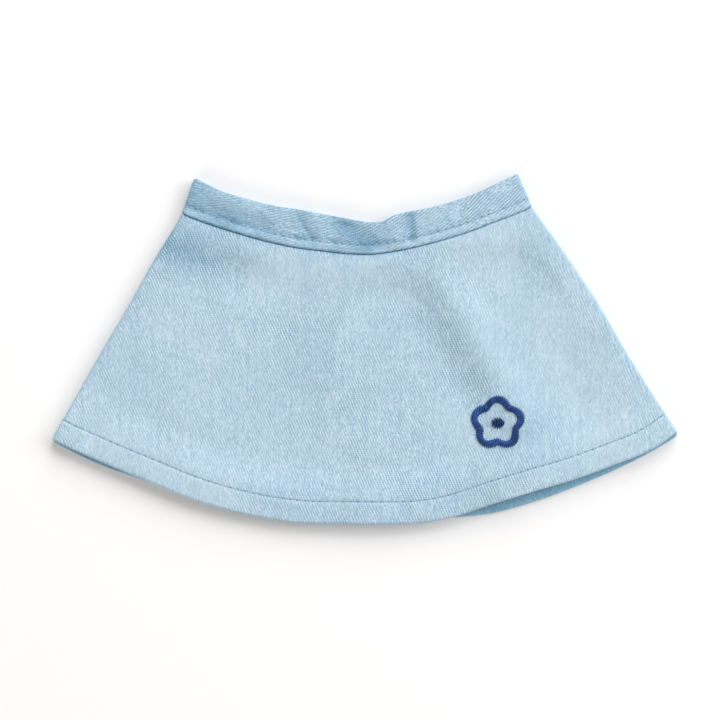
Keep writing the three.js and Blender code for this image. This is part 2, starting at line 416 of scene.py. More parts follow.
def panel_rows(steps, hem_steps, fold_steps):
    hem_share = 1 - HEM_DEPTH / (HEM_RADIUS - WAIST_RADIUS)
    rows = [(0, 1, 0, row["plus"], row["plus"], 0, row["depth"], row["tilt"]) for row in SEAM_DIVE.rows]
    for t in bunched(steps)[1:]:
        plus = (1 - t) * SEAM_DIVE.rows[-1]["plus"] - t * HEM_DEPTH
        rows.append((0, 1 - t, t, plus, plus, t * hem_share, OUTER_DEPTH, 0))
    for up in HEM_DEPTH + (FOLD_REACH - HEM_DEPTH) * bunched(hem_steps)[1:-1]:
        down = 1 - up / (HEM_RADIUS - WAIST_RADIUS)
        rows.append((0, 0, 1, -up, -up, down, OUTER_DEPTH, 0))
    for tilt, reach, depth, opened in fold_turns(fold_steps):
        rows.append((0, 0, 1, -reach, -opened, 1, depth, tilt))
    for up in np.linspace(FOLD_REACH, TURN_UP, hem_steps // 2 + 1)[1:]:
        down = 1 - up / (HEM_RADIUS - WAIST_RADIUS)
        opened = math.pi * FOLD_RADIUS + up - 2 * FOLD_REACH
        rows.append((0, 0, 1, -up, opened, down, OUTER_DEPTH + 2 * FOLD_RADIUS, 180))
    return rows_from(rows)


def band_rows(steps, inner_steps, fold_steps):
    rows = []
    for t in bunched(steps)[:-1]:
        plus = t * FOLD_REACH - (1 - t) * GAP / 2
        rows.append((t, 1 - t, 0, plus, plus, -t, OUTER_DEPTH, 0))
    for tilt, reach, depth, opened in fold_turns(fold_steps):
        rows.append((1, 0, 0, reach, opened, -1, depth, tilt))
    for up in np.linspace(0, BAND_INSIDE - FOLD_REACH, inner_steps + 1)[1:]:
        opened = FOLD_REACH - math.pi * FOLD_RADIUS - up
        down = -1 + (up + FOLD_REACH) / BAND_HEIGHT
        rows.append((1, 0, 0, FOLD_REACH + up, opened, down, OUTER_DEPTH + 2 * FOLD_RADIUS, 180))
    return rows_from(rows[::-1])


def line_row(seam, hem, plus, down):
    """One row along a line of stitching."""
    return rows_from([(0, seam, hem, plus, plus, down, OUTER_DEPTH, 0)])


def side_turn(across, from_facing, to_facing, steps):
    return [(across, facing) for facing in np.linspace(from_facing, to_facing, steps + 1)]


def run(from_across, to_across, facing, steps):
    return [(across, facing) for across in np.linspace(from_across, to_across, steps + 1)]


def front_stations(steps, turn_steps):
    return np.array(
        side_turn(LEFT, BESIDE, UP, turn_steps)
        + run(LEFT, RIGHT, UP, steps)[1:-1]
        + side_turn(RIGHT, UP, BESIDE, turn_steps)
    )


def back_stations(steps, turn_steps):
    return np.array(
        side_turn(RIGHT, BESIDE, DOWN, turn_steps)
        + run(RIGHT, LEFT, DOWN, steps)[1:-1]
        + side_turn(LEFT, DOWN, BESIDE, turn_steps)
    )


def band_stations(front_steps, back_steps, turn_steps):
    """All round the band, from one of its ends at the centre back to the other."""
    length = math.radians(SIDES.rows[0]["right"] - SIDES.rows[0]["left"]) * (WAIST_RADIUS - BAND_HEIGHT)
    middle = (LEFT + RIGHT) / 2
    end = GAP / 2 / length
    return np.array(
        run(middle - end, LEFT, DOWN, back_steps)[:-1]
        + side_turn(LEFT, DOWN, UP, 2 * turn_steps)
        + run(LEFT, RIGHT, UP, front_steps)[1:-1]
        + side_turn(RIGHT, UP, DOWN, 2 * turn_steps)
        + run(RIGHT, middle + end, DOWN, back_steps)[1:]
    )


def front_relief(x, y, from_seam, from_hem, from_side):
    """The front panel's height above the level of the band and hem."""
    clear_of_side = smoothstep(from_side, SAG_FROM_SIDE)
    clear_of_band = smoothstep(from_seam, SAG_FROM_SEAM)
    clear = clear_of_side * clear_of_band * smoothstep(from_hem, SAG_FROM_HEM)
    crests, troughs = fold_heights(FOLDS, x, y)
    rise = (troughs - SAG) * clear + crests * clear_of_side * clear_of_band
    small = sum(fold_heights(PANEL_CREASES, x, y)) + ripples(PANEL_RIPPLES, x, y)
    rise = rise + small * smoothstep(from_side, (0, 5)) * smoothstep(from_seam, (0.5, 4))
    return rise + hem_relief(x, y, from_hem)


def seam_dip(above_seam):
    """The band's lower edge rolling down into the seam."""
    return -SEAM_DIP * bell(above_seam, 0.4)


def hem_relief(x, y, from_hem):
    """The stitch line's groove, and the puckers between it and the fold."""
    groove = -HEM_GROOVE * bell(from_hem - HEM_STITCH, 0.4)
    inside = between(from_hem, (0.2, 2.5), (HEM_STITCH - 1.5, HEM_STITCH))
    above = between(from_hem, (HEM_STITCH, HEM_STITCH + 0.8), (HEM_STITCH + 1, 15))
    pucker = wander(x, 0.35 * y, 6.0, 1.1) * (0.6 + 0.4 * wander(x, y, 60, 0.2))
    return groove + HEM_PUFF * inside * (1 + pucker) + ABOVE_HEM_PUFF * above * pucker


def band_relief(x, y, above_seam):
    """The band's front: the roll over its seam, the stitch line's groove and its creases."""
    tight = 1 - 0.5 * smoothstep(x, (5, 50))
    groove = -BAND_GROOVE * tight * bell(above_seam - BAND_STITCH - 0.3, 0.8)
    welt = BAND_WELT * between(above_seam, (0.4, 1.4), (2.2, 3.3))
    pucker = BAND_PUCKER * wander(x, y, 5.5, 0.9) * bell(above_seam - BAND_STITCH, 2.2)
    creases = sum(fold_heights(BAND_CREASES, x, y)) + ripples(BAND_RIPPLES, x, y)
    inside = between(above_seam, (0, 2), (BAND_HEIGHT - 3, BAND_HEIGHT))
    return groove + welt + pucker + creases * inside + seam_dip(above_seam)


def back_relief(x, y, from_seam, from_hem):
    """The back panel's creases, clear of the band and the hem."""
    creases = sum(fold_heights(BACK_CREASES, x, y)) - 0.06 * (1 + wander(x, y, 24, 1.9))
    return creases * smoothstep(from_seam, SAG_FROM_SEAM) * smoothstep(from_hem, SAG_FROM_HEM)


def front_shade_and_wear(x, y):
    """How deep the front panel's painted shade is, with a little uneven dye, and how far its face is
    rubbed.
    """
    painted_shade = sum(fold_heights(PAINTED_SHADE_PANEL, x, y)) + 0.05 * (1 + wander(x, y, 40, 2.6))
    rubbed_and_lit = sum(fold_heights(RUBBED_AND_LIT_PANEL, x, y))
    return painted_shade, rubbed_and_lit


def band_shade_and_wear(x, y, above_seam):
    """The same for the band's front: its painted shade is deepest towards its left end and in the
    groove over its topstitching, and its welt is painted lighter as a highlight.
    """
    painted_shade = 0.26 - 0.23 * smoothstep(x, (15, 50)) + sum(fold_heights(PAINTED_SHADE_BAND, x, y))
    painted_shade = painted_shade + 0.07 * wander(x, y, 9, 0.7)
    crumple = 0.5 + wander(x, y, 6, 2.2) + 0.9 * wander(x, y, 2.0, 0.3)
    in_groove = bell(above_seam - BAND_STITCH - 0.6, 0.9)
    groove = 0.58 * (1 - 0.75 * smoothstep(x, (0, 40))) * np.clip(crumple, 0, 2) * in_groove
    welt = between(above_seam, (0.5, 1.0), (2.2, 3.4))
    rubbed_and_lit = sum(fold_heights(RUBBED_AND_LIT_BAND, x, y)) + 0.5 * welt
    return (painted_shade + groove) * (1 - 0.12 * welt), rubbed_and_lit


def side_angles(down, radius):
    """The angles between which the cloth lies flat, the side turns outside them."""
    inset = np.degrees(SIDE_INSET / radius)
    return SIDES.curve("left", "down", down) + inset, SIDES.curve("right", "down", down) - inset


def side_roll(side, facing):
    """The way from the tube's middle out to its cloth, for a half thickness of 1, and the way
    that the cloth faces there."""
    up = np.array([0.0, 0.0, 1.0])
    beside = np.cos(facing)
    above = np.abs(np.sin(facing))
    on_top = np.sign(np.sin(facing))
    out = side * (beside**ROLL)[..., None] + up * (on_top * above**ROLL)[..., None]
    outward = side * (beside ** (2 - ROLL))[..., None] + up * (on_top * above ** (2 - ROLL))[..., None]
    return out, outward / np.linalg.norm(outward, axis=-1, keepdims=True)


def weave_map(half, across, facing, turn, down, side, opened, seam):
    """The places on the cloth opened out flat, its warp along the second number."""
    round_side = HALF_STACK * (math.pi / 2 - np.abs(facing)) * np.where(across < 0.5, -1, 1)
    if half == BAND:
        middle_radius = WAIST_RADIUS - BAND_HEIGHT / 2
        along = turn * middle_radius + round_side
        along = np.where(facing < 0, math.pi * middle_radius - along, along)
        return np.stack([-(seam - opened), along], -1)
    flat = down[..., :2] * opened[..., None] + side[..., :2] * np.abs(round_side)[..., None]
    return flat * np.array([half, 1.0])


def shade_and_wear_map(half, painted_shade, rubbed_and_lit, tilt, x, below_seam, across, facing):
    """The face's painted shade and wear, with painted shade added on the cloth's inside, in the seam,
    at the right side's turn and on the band's top fold."""
    # The inside shows under the front's hem, in its shadow: painted shade, and fainter, lighter twill
    inside = smoothstep(tilt, (60, 150)) * (1.0 if half == BACK else 0.5)
    # Painted shade in the seam between band and panel
    seam_shading = (SEAM_SHADE - SEAM_SHADE_FADE * smoothstep(x, (-20, 60))) * bell(below_seam, 0.65)
    # Painted shade on the right side's turn, which the light from the right lights brightly
    turn_shading = TURN_SHADE * np.cos(facing) * (across > 0.5)
    if half == BAND:
        # Painted shade on the band's top fold, which faces the key light
        turn_shading = turn_shading + TOP_FOLD_SHADE * np.sin(np.radians(tilt))
    painted_shade = np.clip(painted_shade + seam_shading + inside + turn_shading, 0, 2)
    return np.stack([painted_shade, np.clip(rubbed_and_lit + inside, -1, 1)], -1)


def lay_cloth(stations, rows, half):
    """Places of the front panel, the back panel or the band as it lies. Gives each place, the way
    its outer side faces, its two maps and the radii of it and of its edges."""
    across = stations[:, 0][:, None]
    facing = np.radians(stations[:, 1])[:, None]
    row = {field: values[None, :] for field, values in rows.items()}
    nominal = WAIST_RADIUS + row["down"] * np.where(row["down"] < 0, BAND_HEIGHT, HEM_RADIUS - WAIST_RADIUS)
    left, right = side_angles(row["down"], nominal)
    angle = left + (right - left) * across
    turn = np.radians(angle)
    front_share = (1 + np.sin(facing)) / 2
    top = WAIST_RADIUS - BAND_HEIGHT + EDGES.curve("band_top", "angle", angle)
    seam = WAIST_RADIUS + EDGES.curve("seam", "angle", angle)
    front_hem = EDGES.curve("front_hem", "angle", angle)
    back_hem = EDGES.curve("back_hem", "angle", angle)
    hem = HEM_RADIUS + back_hem + (front_hem - back_hem) * front_share
    edge = row["top"] * top + row["seam"] * seam + row["hem"] * hem
    radius = edge + row["plus"]
    opened = edge + row["opened"]

    down = np.stack([np.sin(turn), -np.cos(turn), np.zeros_like(turn)], -1)
    side = np.stack([np.cos(turn), np.sin(turn), np.zeros_like(turn)], -1)
    side = side * np.where(across < 0.5, -1, 1)[..., None]
    out, outward = side_roll(side, facing)
    # The panels' middles lie a gap apart, so that a gap stays between them at the sides
    middle = np.array([APEX[0], APEX[1], MIDDLE_Z + half * GAP / 2])
    point = middle + down * radius[..., None]
    x = point[..., 0]
    y = point[..., 1]
    from_side = np.radians(np.minimum(angle - left, right - angle)) * radius
    on_front = np.broadcast_to(stations[:, 1][:, None] == UP, x.shape)
    on_back = stations[:, 1][:, None] == DOWN
    if half == FRONT:
        relief = front_relief(x, y, radius - seam, hem - radius, from_side)
        point[..., 2] += np.where(on_front, relief, 0)
        point += out * np.where(on_front, 0, hem_relief(x, y, hem - radius))[..., None]
        painted_shade, rubbed_and_lit = front_shade_and_wear(x, y)
    elif half == BAND:
        relief = np.where(on_front, band_relief(x, y, seam - radius), seam_dip(seam - radius))
        point += out * np.where(facing >= 0, relief, 0)[..., None]
        painted_shade, rubbed_and_lit = band_shade_and_wear(x, y, seam - radius)
    else:
        point += out * np.where(on_back, back_relief(x, y, radius - seam, hem - radius), 0)[..., None]
        # The back panel takes the front panel's painted shade and rubbing, mirrored
        painted_shade, rubbed_and_lit = front_shade_and_wear(-x, y)
    point = point + out * (HALF_STACK - abs(half) * GAP / 2 - row["depth"])[..., None]
    tilt = np.radians(row["tilt"])[..., None]
    way = -1 if half == BAND else 1
    return {
        "point": point,
        "normal": outward * np.cos(tilt) + down * np.sin(tilt) * way,
        "weave": weave_map(half, across, facing, turn, down, side, opened, seam),
        "painted_shade_and_wear": shade_and_wear_map(half, painted_shade, rubbed_and_lit, row["tilt"], x, radius - seam, across, facing),
        "radius": radius,
        "seam": seam,
        "hem": hem,
    }


def line_along(stations, row, half):
    """A line on the cloth's outer face: its points, their normals and the way along."""
    laid = lay_cloth(stations, row, half)
    normals = laid["normal"][:, 0]
    points = laid["point"][:, 0] + normals * CLOTH / 2
    steps = np.linalg.norm(np.diff(points, axis=0), axis=1)
    return points, normals, np.concatenate([[0], np.cumsum(steps)])


def mesh_piece(name, points, faces, material, maps=None, smooth=True):
    """A mesh object from points in millimetres, with named maps given point by point."""
    mesh = bpy.data.meshes.new(name)
    mesh.vertices.add(len(points))
    mesh.vertices.foreach_set("co", (np.asarray(points) * MM).ravel())
    faces = np.asarray(faces)
    mesh.loops.add(faces.size)
    mesh.loops.foreach_set("vertex_index", faces.ravel())
    mesh.polygons.add(len(faces))
    mesh.polygons.foreach_set("loop_start", np.arange(len(faces)) * faces.shape[1])
    mesh.polygons.foreach_set("use_smooth", np.full(len(faces), smooth))
    mesh.update(calc_edges=True)
    for map_name, values in (maps or {}).items():
        layer = mesh.uv_layers.new(name=map_name)
        layer.data.foreach_set("uv", values[faces.ravel()].ravel())
    mesh.validate()
    mesh.materials.append(material)
    piece = bpy.data.objects.new(name, mesh)
    bpy.context.scene.collection.objects.link(piece)
    return piece


def wall_faces(columns, rows):
    """Quads of a closed wall whose points are laid column by column, outer face first."""
    grid = np.arange(columns * rows).reshape(columns, rows)
    outer = grid
    inner = grid + columns * rows

    def quads(a, b, c, d):
        return np.stack([a, b, c, d], -1).reshape(-1, 4)

    return np.concatenate([
        quads(outer[:-1, :-1], outer[:-1, 1:], outer[1:, 1:], outer[1:, :-1]),
        quads(inner[:-1, :-1], inner[1:, :-1], inner[1:, 1:], inner[:-1, 1:]),
        quads(outer[:-1, 0], outer[1:, 0], inner[1:, 0], inner[:-1, 0]),
        quads(outer[:-1, -1], inner[:-1, -1], inner[1:, -1], outer[1:, -1]),
        quads(outer[0, :-1], inner[0, :-1], inner[0, 1:], outer[0, 1:]),
        quads(outer[-1, :-1], outer[-1, 1:], inner[-1, 1:], inner[-1, :-1]),
    ])


def cloth_piece(name, stations, rows, half, stitch_line, material):
    """A wall of cloth with three maps: its weave, its painted shade and wear, and its stitching as the
    way along the stitch line and the distance from the edge that the line follows."""
    laid = lay_cloth(stations, rows, half)
    points = np.concatenate([
        (laid["point"] + laid["normal"] * CLOTH / 2).reshape(-1, 3),
        (laid["point"] - laid["normal"] * CLOTH / 2).reshape(-1, 3),
    ])
    along = line_along(stations, stitch_line, half)[2]
    from_edge = laid["seam" if half == BAND else "hem"] - laid["radius"]
    sewing = np.stack([np.broadcast_to(along[:, None], from_edge.shape), from_edge], -1)
    maps = {
        "weave": np.tile(laid["weave"].reshape(-1, 2), (2, 1)),
        "painted_shade_and_wear": np.tile(laid["painted_shade_and_wear"].reshape(-1, 2), (2, 1)),
        "sewing": np.tile(sewing.reshape(-1, 2), (2, 1)),
    }
    faces = wall_faces(len(stations), len(rows["down"]))
    return mesh_piece(name, points, faces, material, maps)


def tube_points(centres, sideways, upward, radius, sides):
    """Rings of points round a line, by two directions across it."""
    turns = np.linspace(0, 2 * math.pi, sides, endpoint=False)
    ring_a = np.cos(turns)[None, :, None] * sideways[:, None, :]
    ring_b = np.sin(turns)[None, :, None] * upward[:, None, :]
    return centres[:, None, :] + (ring_a + ring_b) * radius[:, None, None]


def tube_faces(rings, sides, first):
    """Quads of a closed tube with an even number of sides."""
    ring = np.arange(rings - 1)[:, None] * sides
    side = np.arange(sides)[None, :]
    after = (side + 1) % sides
    quads = np.stack([ring + side, ring + after, ring + sides + after, ring + sides + side], -1)
    near_end = [(0, k + 2, k + 1, k) for k in range(1, sides - 2, 2)]
    far_end = [(0, k, k + 1, k + 2) for k in range(1, sides - 2, 2)]
    ends = np.concatenate([np.array(near_end), np.array(far_end) + (rings - 1) * sides])
    return np.concatenate([quads.reshape(-1, 4), ends]) + first


class ThreadBundle:
    """Many short threads joined into one mesh. Their map gives the way along each thread, its
    start a whole number of steps, and the way round it."""

    def __init__(self, sides):
        self.sides = sides
        self.points = []
        self.faces = []
        self.maps = []
        self.count = 0

    def add(self, centres, upward, radius):
        """A thread along centres; upward is the cloth's normal and radius is given at each point."""
        forward = np.gradient(centres, axis=0)
        forward /= np.linalg.norm(forward, axis=1, keepdims=True)
        sideways = np.cross(upward, forward)
        sideways /= np.linalg.norm(sideways, axis=1, keepdims=True)
        raised = np.cross(forward, sideways)
        rings = tube_points(centres, sideways, raised, radius, self.sides)
        steps = np.linalg.norm(np.diff(centres, axis=0), axis=1)
        along = np.concatenate([[0], np.cumsum(steps)])
        around = np.arange(self.sides) / self.sides
        along = along + THREAD_STEP * len(self.points)
        each = np.stack(np.broadcast_arrays(along[:, None], around[None, :]), -1)
        self.faces.append(tube_faces(len(centres), self.sides, self.count))
        self.points.append(rings.reshape(-1, 3))
        self.maps.append(each.reshape(-1, 2))
        self.count += len(centres) * self.sides

    def piece(self, name, material):
        maps = {"thread": np.concatenate(self.maps)}
        return mesh_piece(name, np.concatenate(self.points), np.concatenate(self.faces), material, maps)


def stitch_row(name, stations, row, half, material):
    """Lockstitches along a line: each one rises from its needle hole and goes down the next.
    Those underneath are pressed into the cloth."""
    points, normals, along = line_along(stations, row, half)
    bundle = ThreadBundle(sides=8)
    shares = np.linspace(0, 1, THREAD_POINTS)
    arch = np.sin(math.pi * shares) ** 0.6
    thickness = THREAD / 2 * np.clip(8 * np.minimum(shares, 1 - shares), 0.25, 1)
    needle_gap = (STITCH_PITCH - STITCH_LENGTH) / 2
    last_start = along[-1] - LINE_END - STITCH_LENGTH - needle_gap
    for k, start in enumerate(np.arange(STITCH_PITCH / 2, last_start, STITCH_PITCH)):
        at = start + needle_gap + STITCH_LENGTH * shares
        line = np.stack([np.interp(at, along, points[:, axis]) for axis in range(3)], -1)
        upward = np.stack([np.interp(at, along, normals[:, axis]) for axis in range(3)], -1)
        pressed = THREAD / 2 * np.clip(-upward[:, 2], 0, 1)
        rise = STITCH_RISE + 0.05 * math.sin(2.3 * k)
        bow = THREAD * (rise * arch - STITCH_SUNK) - pressed
        bundle.add(line + upward * bow[:, None], upward, thickness)
    return bundle.piece(name, material)


class Value:
    """A number, colour or vector at a socket, with arithmetic that adds Math nodes."""

    def __init__(self, finish, socket):
        self.finish = finish
        self.socket = socket

    def math(self, operation, *others, reverse=False):
        values = [self, *others]
        if reverse:
            values.reverse()
        return self.finish.node("ShaderNodeMath", {"operation": operation}, dict(enumerate(values)))

    def __add__(self, other):
        return self.math("ADD", other)

    def __sub__(self, other):
        return self.math("SUBTRACT", other)

    def __rsub__(self, other):
        return self.math("SUBTRACT", other, reverse=True)

    def __mul__(self, other):
        return self.math("MULTIPLY", other)

    def __truediv__(self, other):
        return self.math("DIVIDE", other)

    __radd__ = __add__
    __rmul__ = __mul__

    def floor(self):
        return self.math("FLOOR")

    def fract(self):
        return self.math("FRACT")

    def absolute(self):
        return self.math("ABSOLUTE")

    def smooth(self, low, high):
        """0 up to low, 1 from high on and smooth between."""
        settings = {"interpolation_type": "SMOOTHSTEP"}
        inputs = {"Value": self, "From Min": low, "From Max": high}
        return self.finish.node("ShaderNodeMapRange", settings, inputs)


class Finish:
    """A material and its nodes."""

    def __init__(self, name):
        self.material = bpy.data.materials.new(name)
        self.material.use_nodes = True
        self.tree = self.material.node_tree
        self.shader = self.tree.nodes["Principled BSDF"]

    def node(self, kind, settings=None, inputs=None, output=0):
        made = self.tree.nodes.new(kind)
        for name, value in (settings or {}).items():
            setattr(made, name, value)
        for name, value in (inputs or {}).items():
            self.put(made.inputs[name], value)
        return Value(self, made.outputs[output])

    def put(self, socket, value):
        if isinstance(value, Value):
            self.tree.links.new(value.socket, socket)
        else:
            socket.default_value = value

    def surface(self, **sockets):
        """Sets the shader's sockets by name, with _ for a space."""
        for name, value in sockets.items():
            self.put(self.shader.inputs[name.replace("_", " ")], value)
        return self.material

    def map_parts(self, map_name):
        place = self.node("ShaderNodeUVMap", {"uv_map": map_name})
        return [self.node("ShaderNodeSeparateXYZ", inputs={0: place}, output=axis) for axis in (0, 1)]

    def join(self, x, y, z=0.0):
        return self.node("ShaderNodeCombineXYZ", inputs={0: x, 1: y, 2: z})

    def speckle(self, cell):
        """A random share for each cell."""
        return self.node("ShaderNodeTexWhiteNoise", {"noise_dimensions": "2D"}, {"Vector": cell})

    def noise(self, place, scale, detail=2.0):
        return self.node("ShaderNodeTexNoise", inputs={"Vector": place, "Scale": scale, "Detail": detail})

    def mix(self, share, first, second, blend="MIX"):
        """A mix of colours: sockets 6 and 7 take them, and output 2 gives the result."""
        settings = {"data_type": "RGBA", "blend_type": blend, "clamp_factor": True}
        return self.node("ShaderNodeMix", settings, {0: share, 6: first, 7: second}, output=2)

    def dye(self, first, share, tint):
        """A colour multiplied by a tint for a share of it."""
        return self.mix(share, first, tint, "MULTIPLY")

    def bump(self, height, distance):
        return self.node("ShaderNodeBump", inputs={"Height": height, "Distance": distance, "Strength": 1.0})


def colour(red, green, blue):
    """An sRGB colour from 0 to 255 as the linear colour that a socket takes."""
    def linear(part):
        part /= 255
        return part / 12.92 if part <= 0.04045 else ((part + 0.055) / 1.055) ** 2.4
    return (linear(red), linear(green), linear(blue), 1.0)


DENIM_LIGHT = colour(210, 231, 243)
DENIM_DARK = colour(139, 175, 199)
# Tints of painted shade, darker and bluer; the inside's for the back's inside in the front hem's shadow
PAINTED_SHADE_TINT = (0.56, 0.69, 0.76, 1)
INSIDE_SHADE_TINT = (0.53, 0.74, 0.83, 1)
YELLOWED = (0.97, 1.0, 0.965, 1)
REDDENED = (1.0, 0.975, 1.03, 1)
# Painted shade in the needle holes
NEEDLE_HOLE_SHADE = colour(80, 118, 142)
# Each thread colour goes with a darker tone for its painted shade
PALE_THREAD = colour(170, 198, 214)
PALE_THREAD_SHADED = colour(118, 150, 174)
NAVY_THREAD = colour(58, 102, 178)
NAVY_THREAD_SHADED = colour(6, 24, 64)

# How far each unevenness of the denim shifts its shade between the dark and the light blue
MEAN_SHADE = 0.52
GRAIN_CONTRAST = 0.46
NAP_CONTRAST = 0.29
SLUB_CONTRAST = 0.36
MOTTLE_CONTRAST = 0.20
# Dark flecks as deep as the painted shade: painted shade
SHADED_FLECK_CONTRAST = 0.5
# Rubbed places are painted lighter and places below 0 darker: painted light and shade, and wear
RUBBED_AND_LIT_LIGHTER = 0.11

# How far each yarn sways from its straight line
YARN_SWAY = 0.8

# How high the weave and a thread's plies stand, for the bumps
WEAVE_RELIEF = 0.08 * MM
PLY_RELIEF = 0.04 * MM


def warp_floats(cloth, u, v):
    """2 over 1 twill: where the warp floats on top, its height there, and a random share for
    each float and for each crossing of two yarns."""
    yarn_place = u / WARP_PITCH
    yarn = yarn_place.floor()
    off_centre = (yarn_place.fract() - 0.5).absolute()
    climb = (v + yarn * WEFT_PITCH) / (TWILL_ENDS * WEFT_PITCH)
    rise = climb.fract()
    over = rise.smooth(0.02, 0.18) * (1 - rise.smooth(0.50, 0.70))
    height = over * (1 - off_centre * off_centre * 3)
    grain = cloth.speckle(cloth.join(yarn, climb.floor()))
    fleck = cloth.speckle(cloth.join(yarn, (v / WEFT_PITCH).floor()))
    return over, height, grain, fleck


def needle_holes(cloth, ragged, stitch_at):
    """The needle holes of a stitch line, and the line along which its thread pulls the cloth in, where
    painted shade darkens the holes and the stitch groove.
    """
    along, from_edge = cloth.map_parts("sewing")
    hole_along = ((along / STITCH_PITCH).fract() - 0.5).absolute() * STITCH_PITCH
    hole_off = (from_edge - stitch_at).absolute() + (ragged - 0.5) * 0.5
    hole = 1 - (hole_along * hole_along * 0.35 + hole_off * hole_off).smooth(0.02, 0.16)
    stitch_line_shade = (1 - hole_off.smooth(0.05, 0.35)) * (ragged * 2.0 - 0.6)
    return hole, stitch_line_shade


def denim(name, stitch_at, shade_tint, speckled, twilled):
    """Twill with the float of each warp yarn shown, its painted shade tinted with shade_tint, and
    the needle holes and stitch groove of one stitch line, painted dark as shade.
    """
    cloth = Finish(name)
    u, v = cloth.map_parts("weave")
    painted_shade, rubbed_and_lit = cloth.map_parts("painted_shade_and_wear")
    place = cloth.join(u, v)
    u = u + (cloth.noise(place, 0.30) - 0.5) * YARN_SWAY
    over, height, grain, fleck = warp_floats(cloth, u, v)

    nap = cloth.noise(cloth.join(u, v * 0.7), 0.95, 3.0)
    slub = cloth.noise(cloth.join(u * 0.8, v * 0.035), 1.0, 2.0)
    mottle = cloth.noise(place, 0.16, 3.0)
    patch = cloth.noise(place, 0.11, 1.0).smooth(0.35, 0.62)
    crisp = (1 - rubbed_and_lit * 0.8) * (patch * 0.75 + 0.35)
    coarse = 1 - rubbed_and_lit * 0.5
    # Dark flecks where the painted shade is deep: painted shade
    shaded_flecks = fleck.smooth(0.74, 0.90) * painted_shade
    shade = (height - 0.42) * crisp * twilled + (grain - 0.5) * over * GRAIN_CONTRAST
    shade = shade + (fleck - 0.5) * (1.1 - crisp * 0.6) * coarse * speckled
    shade = shade + (nap - 0.5) * coarse * NAP_CONTRAST + (slub - 0.5) * SLUB_CONTRAST
    shade = shade + (mottle - 0.5) * MOTTLE_CONTRAST
    shade = shade + rubbed_and_lit * RUBBED_AND_LIT_LIGHTER - shaded_flecks * SHADED_FLECK_CONTRAST + MEAN_SHADE
    blue = cloth.mix(shade, DENIM_DARK, DENIM_LIGHT)
    tint = cloth.noise(cloth.join(u, v, 7.0), 0.22, 1.0)
    blue = cloth.dye(blue, tint.smooth(0.45, 0.75) * 0.25, YELLOWED)
    blue = cloth.dye(blue, (1 - tint.smooth(0.3, 0.5)) * 0.22, REDDENED)
    # The mix stops at 1, so painted shade past 1 tints the cloth a second time
    for share in (painted_shade, painted_shade - 1):
        blue = cloth.dye(blue, share, shade_tint)

    ragged = cloth.noise(place, 0.7, 2.0)
    hole, stitch_line_shade = needle_holes(cloth, ragged, stitch_at)
    # Painted shade in the needle holes
    blue = cloth.mix(hole * ragged.smooth(0.3, 0.6) * 0.8, blue, NEEDLE_HOLE_SHADE)
    # Painted shade along the stitch groove
    blue = cloth.dye(blue, stitch_line_shade, PAINTED_SHADE_TINT)
    raised = (height * crisp * 0.8 + grain * over * 0.25 + nap * 0.5) * (1 - hole)
    return cloth.surface(
        Base_Color=blue, Normal=cloth.bump(raised, WEAVE_RELIEF), Roughness=0.92,
        Specular_IOR_Level=0.25, Sheen_Weight=0.12, Sheen_Roughness=0.5,
    )


def thread_finish(name, tone, painted_shade, roughness, ply, underlay_shade=0.0):
    """Twisted thread: its plies run slantwise round it. Its colour has a painted highlight on each ply's
    middle and on the thread's top, painted shade at its sides, and painted shading that drifts slowly
    from thread to thread. Where the embroidery is underlaid, every second thread lies underneath and
    is painted darker as shade."""
    thread = Finish(name)
    along, around = thread.map_parts("thread")
    twist = (along / ply + around * 2).fract()
    strand = 1 - (twist - 0.5).absolute() * 2
    crown_highlight = 1 - (around - 0.25).absolute() * 4
    number = (along / THREAD_STEP).floor()
    each = thread.speckle(thread.join(number, 0.5))
    drift = thread.noise(thread.join(number * 0.035, 0.5), 1.0)
    underlay_shading = (number * 0.5).fract() * 2 * underlay_shade
    lit = strand * 0.35 + crown_highlight * 0.5 + each * 0.3 + drift * 1.2 - underlay_shading - 0.72
    base = thread.mix(lit, painted_shade, tone)
    return thread.surface(
        Base_Color=base, Normal=thread.bump(strand, PLY_RELIEF), Roughness=roughness,
        Specular_IOR_Level=0.25,
    )


def add_camera():
    data = bpy.data.cameras.new("camera")
    data.lens = LENS
    data.sensor_width = SENSOR
    data.clip_end = 20
    camera = bpy.data.objects.new("camera", data)
    across = FRAME_PIXELS * PIXEL * MM
    height = across * LENS / SENSOR
    camera.location = (
        (FRAME_PIXELS / 2 - MIDDLE_PIXEL[0]) * PIXEL * MM,
        (MIDDLE_PIXEL[1] - FRAME_PIXELS / 2) * PIXEL * MM,
        height + MIDDLE_Z * MM,
    )
    bpy.context.scene.collection.objects.link(camera)
    bpy.context.scene.camera = camera


def add_light(name, place, size, power, tone):
    """A round area light, its place and size in metres, aimed at the skirt."""
    data = bpy.data.lights.new(name, "AREA")
    data.shape = "DISK"
    data.size = size
    data.energy = power
    data.color = tone
    light = bpy.data.objects.new(name, data)
    light.location = place
    light.rotation_euler = light.location.to_track_quat("Z", "Y").to_euler()
    bpy.context.scene.collection.objects.link(light)


